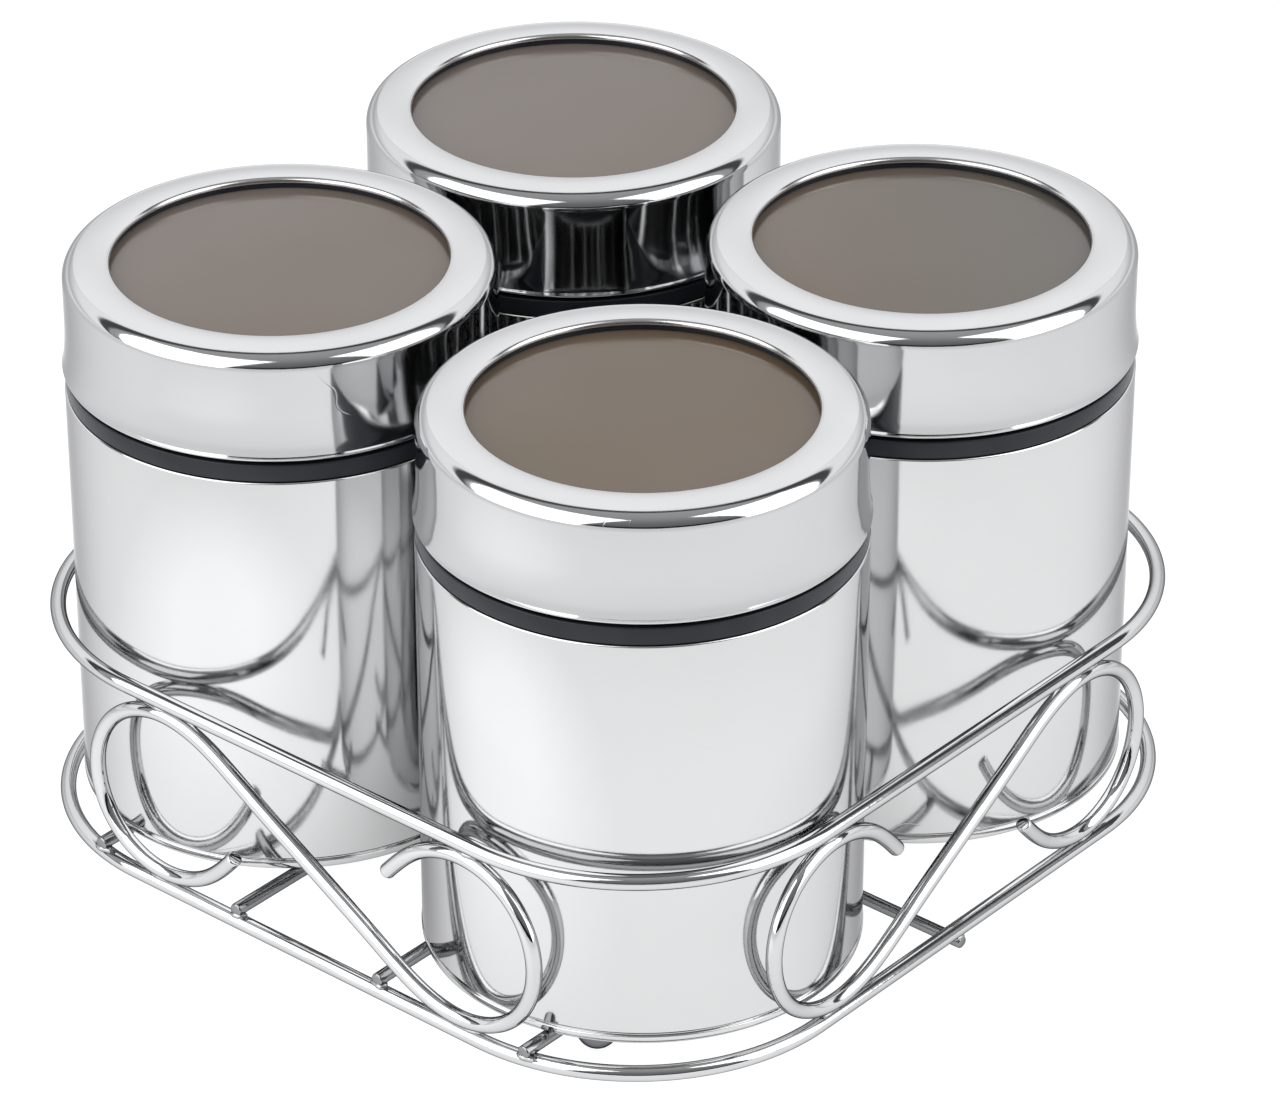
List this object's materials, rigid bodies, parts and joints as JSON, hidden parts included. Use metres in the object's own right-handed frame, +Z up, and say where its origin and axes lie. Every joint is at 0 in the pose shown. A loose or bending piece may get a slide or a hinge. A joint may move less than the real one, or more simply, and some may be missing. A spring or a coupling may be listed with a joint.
{
  "type": "spice canister set in wire caddy",
  "caption": "Polished steel spice canisters with push-on see-through lids, standing in a square chromed wire caddy with scrollwork sides and ball feet.",
  "frame": {"origin": "centre of the caddy's footprint, on the table surface", "axes": "+Z up; the sides of the caddy run along X and Y; the front side faces -Y"},
  "size_m": [0.1866, 0.1866, 0.1255],
  "materials": {
    "rail_wire": "bright chrome plate",
    "scroll_wire": "bright chrome plate",
    "cross_wire": "chrome plate",
    "foot_ball": "dull chrome plate",
    "can_steel": "mirror-polished stainless steel",
    "base_steel": "polished stainless steel",
    "lid_steel": "polished skirt, satin top ring",
    "window_pane": "smoky clear plastic",
    "liner_plastic": "charcoal moulded plastic",
    "seal_rubber": "soft black rubber"
  },
  "bodies": {
    "caddy": {"top_rail": "rail_wire", "bottom_rail": "rail_wire", "scroll_front": "scroll_wire", "scroll_right": "scroll_wire", "scroll_back": "scroll_wire", "scroll_left": "scroll_wire", "cross_wire_1": "cross_wire", "cross_wire_2": "cross_wire", "cross_wire_3": "cross_wire", "cross_wire_4": "cross_wire", "tie_wire": "cross_wire", "foot_front_left": "foot_ball", "foot_front_right": "foot_ball", "foot_back_left": "foot_ball", "foot_back_right": "foot_ball"},
    "canister_front_left": {"can_body_front_left": "can_steel", "can_base_front_left": "base_steel"},
    "lid_front_left": {"lid_shell_front_left": "lid_steel", "lid_window_front_left": "window_pane", "lid_liner_front_left": "liner_plastic", "lid_groove_front_left": "liner_plastic", "seal_ring_front_left": "seal_rubber"},
    "canister_front_right": {"can_body_front_right": "can_steel", "can_base_front_right": "base_steel"},
    "lid_front_right": {"lid_shell_front_right": "lid_steel", "lid_window_front_right": "window_pane", "lid_liner_front_right": "liner_plastic", "lid_groove_front_right": "liner_plastic", "seal_ring_front_right": "seal_rubber"},
    "canister_back_left": {"can_body_back_left": "can_steel", "can_base_back_left": "base_steel"},
    "lid_back_left": {"lid_shell_back_left": "lid_steel", "lid_window_back_left": "window_pane", "lid_liner_back_left": "liner_plastic", "lid_groove_back_left": "liner_plastic", "seal_ring_back_left": "seal_rubber"},
    "canister_back_right": {"can_body_back_right": "can_steel", "can_base_back_right": "base_steel"},
    "lid_back_right": {"lid_shell_back_right": "lid_steel", "lid_window_back_right": "window_pane", "lid_liner_back_right": "liner_plastic", "lid_groove_back_right": "liner_plastic", "seal_ring_back_right": "seal_rubber"}
  },
  "joints": [
    {"name": "canister_lift_front_left", "type": "slide", "parent": "caddy", "child": "canister_front_left", "axis": [0, 0, 1], "range_m": [0, 0.12]},
    {"name": "canister_lift_front_right", "type": "slide", "parent": "caddy", "child": "canister_front_right", "axis": [0, 0, 1], "range_m": [0, 0.12]},
    {"name": "canister_lift_back_left", "type": "slide", "parent": "caddy", "child": "canister_back_left", "axis": [0, 0, 1], "range_m": [0, 0.12]},
    {"name": "canister_lift_back_right", "type": "slide", "parent": "caddy", "child": "canister_back_right", "axis": [0, 0, 1], "range_m": [0, 0.12]},
    {"name": "lid_lift_front_left", "type": "slide", "parent": "canister_front_left", "child": "lid_front_left", "axis": [0, 0, 1], "range_m": [0, 0.05]},
    {"name": "lid_lift_front_right", "type": "slide", "parent": "canister_front_right", "child": "lid_front_right", "axis": [0, 0, 1], "range_m": [0, 0.05]},
    {"name": "lid_lift_back_left", "type": "slide", "parent": "canister_back_left", "child": "lid_back_left", "axis": [0, 0, 1], "range_m": [0, 0.05]},
    {"name": "lid_lift_back_right", "type": "slide", "parent": "canister_back_right", "child": "lid_back_right", "axis": [0, 0, 1], "range_m": [0, 0.05]}
  ]
}
